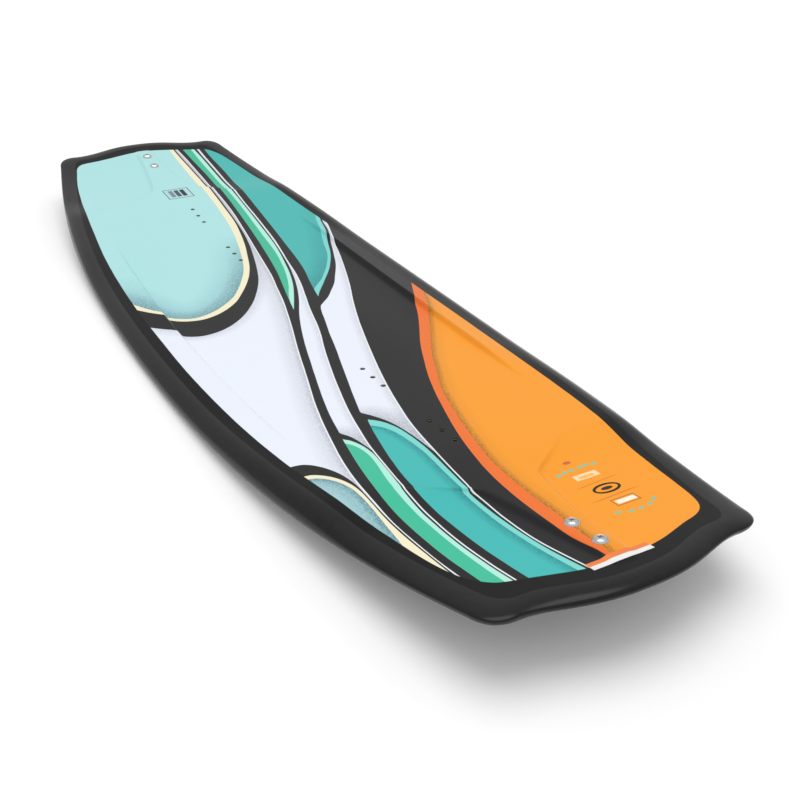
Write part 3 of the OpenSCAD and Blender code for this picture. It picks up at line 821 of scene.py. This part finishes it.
# Colour, kind, middle, half sizes in mm and turn of each mark
MARKS = [
    ("3c5a60", "box", -462.5, 0.3, 19.3, 21.2, 0),
    ("b2dcdd", "box", -462.5, 0.3, 17.9, 19.8, 0),
    ("2b333d", "box", -463, 9, 13, 3.6, 0),
    ("4a5761", "box", -463, -0.5, 13, 3.6, 0),
    ("7b8b95", "box", -463, -10, 13, 3.6, 0),
    ("d4663f", "oval", 486.5, 69.5, 2.6, 4.6, 0),
    ("fddcae", "box", 515.5, 70.5, 4.8, 13.5, 0),
    ("fab868", "box", 516.5, 70.0, 2.3, 8.5, 0),
    ("dd8532", "box", 530.5, 71.5, 0.7, 21.5, 0.07),
    ("dd7f33", "box", 558.7, 70.5, 0.8, 24, 0.05),
    ("2a2118", "oval", 544.5, 71.2, 8.6, 15.2, 0),
    ("f79e2d", "oval", 544.5, 71.2, 5.6, 12.2, 0),
    ("3a2b1b", "oval", 544.5, 71.2, 2.8, 6.5, 0),
    ("a4632b", "box", 571, 71, 6.2, 13.4, 0),
    ("f79e2d", "box", 571, 71, 5.2, 12.3, 0),
    ("fdf3e4", "box", 571, 71.5, 3.2, 10.8, 0),
] + [("8fc2a2", "oval", x, y, 2.3, 3.4, turn) for x, y, turn in (
    (500.6, 91.5, 0), (498.6, 83, 0.3), (499.2, 75.5, 0.2), (499.6, 65, 0), (500, 56.5, 0.2),
    (503, 48, 0.4), (583.3, 93, 1.0), (588.8, 83.5, 0.3), (590.8, 72, 0.1),
    (590.6, 61, -0.1), (585.8, 49.5, -0.3))]


def speckled(name, dark, light, scale, roughness, bump_mm, **sockets):
    """A finish whose colour drifts between two tones, with a fine surface texture: grain
    size in patterns a metre, roughness range, and bump height in millimetres."""
    made, tree = material(name)
    place = add(tree, "TexCoord").outputs["Object"]
    drift = add(tree, "TexNoise", {"Vector": place, "Scale": scale / 12,
                                   "Detail": 3}).outputs["Fac"]
    fine = add(tree, "TexNoise", {"Vector": place, "Scale": scale, "Detail": 2}).outputs["Fac"]
    both = add(tree, "Math", {0: drift, 1: fine}, operation="ADD").outputs[0]
    spread = add(tree, "MapRange", {"Value": both, "From Min": 0.75, "From Max": 1.25}).outputs[0]
    tone = add(tree, "Mix", {"Factor": spread, "A": colour(dark), "B": colour(light)},
               data_type="RGBA").outputs["Result"]
    rough = add(tree, "MapRange", {"Value": spread, "To Min": roughness[0],
                                   "To Max": roughness[1]}).outputs[0]
    bump = add(tree, "Bump", {"Height": fine, "Strength": 0.5, "Distance": bump_mm * MM})
    inputs = {"Base Color": tone, "Roughness": rough, "Normal": bump.outputs["Normal"]}
    inputs.update({key.replace("_", " "): value for key, value in sockets.items()})
    close(tree, add(tree, "BsdfPrincipled", inputs))
    return made


def glass_cloth():
    """Woven E-glass in epoxy: a plain weave of 1.5 mm bundles under a smooth resin skin."""
    made, tree = material("glass_cloth_in_resin")
    place = add(tree, "TexCoord").outputs["Object"]
    weft = add(tree, "TexWave", {"Vector": place, "Scale": 105, "Distortion": 0.4},
               bands_direction="X").outputs["Fac"]
    warp = add(tree, "TexWave", {"Vector": place, "Scale": 105, "Distortion": 0.4},
               bands_direction="Y").outputs["Fac"]
    weave = add(tree, "Math", {0: weft, 1: warp}, operation="MULTIPLY").outputs[0]
    tone = add(tree, "Mix", {"Factor": weave, "A": colour("9aa37c"), "B": colour("cdd3b2")},
               data_type="RGBA").outputs["Result"]
    bump = add(tree, "Bump", {"Height": weave, "Strength": 0.3, "Distance": 0.1 * MM})
    close(tree, add(tree, "BsdfPrincipled", {
        "Base Color": tone, "Roughness": 0.3, "IOR": 1.55, "Normal": bump.outputs["Normal"]}))
    return made


def turned_metal(name, dark, light, roughness, lines):
    """Metal from the lathe, with faint rings: lines is rings a metre, from the tool's feed."""
    made, tree = material(name)
    place = add(tree, "TexCoord").outputs["Object"]
    rings = add(tree, "TexWave", {"Vector": place, "Scale": lines, "Distortion": 1.5,
                                  "Detail": 2}, bands_direction="Z").outputs["Fac"]
    stain = add(tree, "TexNoise", {"Vector": place, "Scale": 350, "Detail": 2}).outputs["Fac"]
    tone = add(tree, "Mix", {"Factor": stain, "A": colour(dark), "B": colour(light)},
               data_type="RGBA").outputs["Result"]
    rough = add(tree, "MapRange", {"Value": stain, "To Min": roughness[0],
                                   "To Max": roughness[1]}).outputs[0]
    bump = add(tree, "Bump", {"Height": rings, "Strength": 0.15, "Distance": 0.02 * MM})
    close(tree, add(tree, "BsdfPrincipled", {
        "Base Color": tone, "Metallic": 1, "Roughness": rough,
        "Normal": bump.outputs["Normal"]}))
    return made


def two_tone_film():
    """Printed vinyl film: orange half towards the middle of the board, white half outside."""
    made, tree = material("two_tone_vinyl_film")
    place = add(tree, "TexCoord").outputs["Object"]
    along = add(tree, "SeparateXYZ", {"Vector": place}).outputs["X"]
    split = add(tree, "MapRange", {"Value": along, "From Min": 0.6458,
                                   "From Max": 0.6461}).outputs[0]
    cloud = add(tree, "TexNoise", {"Vector": place, "Scale": 120, "Detail": 2}).outputs["Fac"]
    warm = add(tree, "Mix", {"Factor": cloud, "A": colour("e8762d"), "B": colour("f08438")},
               data_type="RGBA").outputs["Result"]
    pale = add(tree, "Mix", {"Factor": cloud, "A": colour("e6e6e4"), "B": colour("f2f2f0")},
               data_type="RGBA").outputs["Result"]
    tone = add(tree, "Mix", {"Factor": split, "A": warm, "B": pale},
               data_type="RGBA").outputs["Result"]
    close(tree, add(tree, "BsdfPrincipled", {"Base Color": tone, "Roughness": 0.42}))
    return made


def give(piece, *finishes):
    piece.data.materials.clear()
    for finish in finishes:
        piece.data.materials.append(finish)


give(deck, printed_deck())
cloth = glass_cloth()
rail_finish = speckled("urethane_rail_moulding", "0f0f10", "151516", 1500, (0.17, 0.23), 0.004,
                       IOR=1.5, Specular_IOR_Level=0.26)
base_finish = speckled("gloss_polyethylene_base", "212224", "292a2c", 400, (0.16, 0.28), 0.02,
                       IOR=1.51)
fin_finish = speckled("glass_filled_nylon_fin", "222325", "2c2d2f", 2500, (0.42, 0.56), 0.06)
foam_finish = speckled("closed_cell_foam", "ddd2b4", "ece3cb", 1600, (0.85, 0.95), 0.25)
block_finish = speckled("machined_plastic_block", "cfcabb", "dcd8cb", 700, (0.5, 0.62), 0.05)
brass = turned_metal("turned_brass", "8d6f3c", "b08c50", (0.3, 0.5), 1800)
steel = turned_metal("polished_stainless_steel", "c2c4c6", "dcdedf", (0.14, 0.26), 1500)
give(label, two_tone_film())
give(rail, rail_finish)
give(base, base_finish)
give(laminate, cloth)
for piece in fins:
    give(piece, fin_finish)
for piece in bolts + washers:
    give(piece, steel)
for name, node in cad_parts.items():
    if name.endswith(("inserts", "nuts")):
        give(node, brass)
    elif name.endswith("block"):
        give(node, block_finish)
    elif name == "foam_core":
        give(node, foam_finish)
    elif name.endswith("laminate"):
        give(node, cloth)

# ---------------------------------------------------------------- riding and replacing
for piece, slot_name, replaced in (
        (deck, "deck_print", "deck_sheet"), (laminate, "glass_laminate", "deck_laminate"),
        (base, "base_sheet", "base_sheet"), (rail, "rail", "rail"),
        (label, "label", "nose_label"),
        (fins[0], "fin", "nose_fin"), (fins[1], "fin", "tail_fin"),
        (bolts[0], "stainless", "nose_fin_bolts"), (bolts[1], "stainless", "tail_fin_bolts"),
        (washers[0], "stainless", "nose_fin_washers"),
        (washers[1], "stainless", "tail_fin_washers")):
    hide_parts(replaced)
    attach(piece, "root")

# ---------------------------------------------------------------- floor, light, camera
deselect()
bpy.ops.mesh.primitive_plane_add(size=40)
floor = named("studio_floor")
made, tree = material("white_floor_painted_glow")
place = add(tree, "TexCoord").outputs["Object"]
cloud = add(tree, "TexNoise", {"Vector": place, "Scale": 3, "Detail": 2}).outputs["Fac"]
tone = add(tree, "Mix", {"Factor": cloud, "A": colour("f6f6f6"), "B": colour("f9f9f9")},
           data_type="RGBA").outputs["Result"]
# White floor with a faint painted glow of its own, which lifts the shadows
close(tree, add(tree, "BsdfPrincipled", {
    "Base Color": tone, "Roughness": 0.9, "Specular IOR Level": 0.1,
    "Emission Color": (1, 1, 1, 1), "Emission Strength": 0.08}))
give(floor, made)

world = bpy.data.worlds.new("studio")
bpy.context.scene.world = world
world.use_nodes = True
tree = world.node_tree
tree.nodes.clear()
# A white tent that is brightest overhead
upward = add(tree, "SeparateXYZ", {
    "Vector": add(tree, "TexCoord").outputs["Generated"]}).outputs["Z"]
shade = add(tree, "MapRange", {"Value": upward, "To Min": 0.6, "To Max": 0.76}).outputs[0]
sky = add(tree, "Background", {"Color": (1, 1, 1, 1), "Strength": shade})
add(tree, "OutputWorld", {"Surface": sky.outputs["Background"]})


def soft_sun(name, source, power, angle):
    """Broad light from a far softbox in the direction of source."""
    light = bpy.data.lights.new(name, "SUN")
    light.energy, light.angle = power, math.radians(angle)
    holder = bpy.data.objects.new(name, light)
    holder.rotation_euler = Vector(source).to_track_quat("Z", "Y").to_euler()
    bpy.context.scene.collection.objects.link(holder)


soft_sun("overhead_softbox", (-0.2, 0.04, 1), 1.14, 50)

YAW, PITCH, ROLL = math.radians(150.253), math.radians(29.541), math.radians(0.896)
forward = np.array([math.cos(PITCH) * math.cos(YAW), math.cos(PITCH) * math.sin(YAW),
                    -math.sin(PITCH)])
right = np.cross(forward, (0, 0, 1))
right /= np.linalg.norm(right)
above = np.cross(right, forward)
right, above = (math.cos(ROLL) * right + math.sin(ROLL) * above,
                -math.sin(ROLL) * right + math.cos(ROLL) * above)
lens = bpy.data.cameras.new("camera")
lens.sensor_width, lens.lens = 36, 46.49
camera = bpy.data.objects.new("camera", lens)
turn = np.stack([right, above, -forward], 1)
placed = np.eye(4)
placed[:3, :3], placed[:3, 3] = turn, (1.13937, -0.49124, 0.59142)
camera.matrix_world = Matrix(placed.tolist())
bpy.context.scene.collection.objects.link(camera)
bpy.context.scene.camera = camera
bpy.context.scene.view_settings.view_transform = "Standard"

bpy.context.view_layer.update()
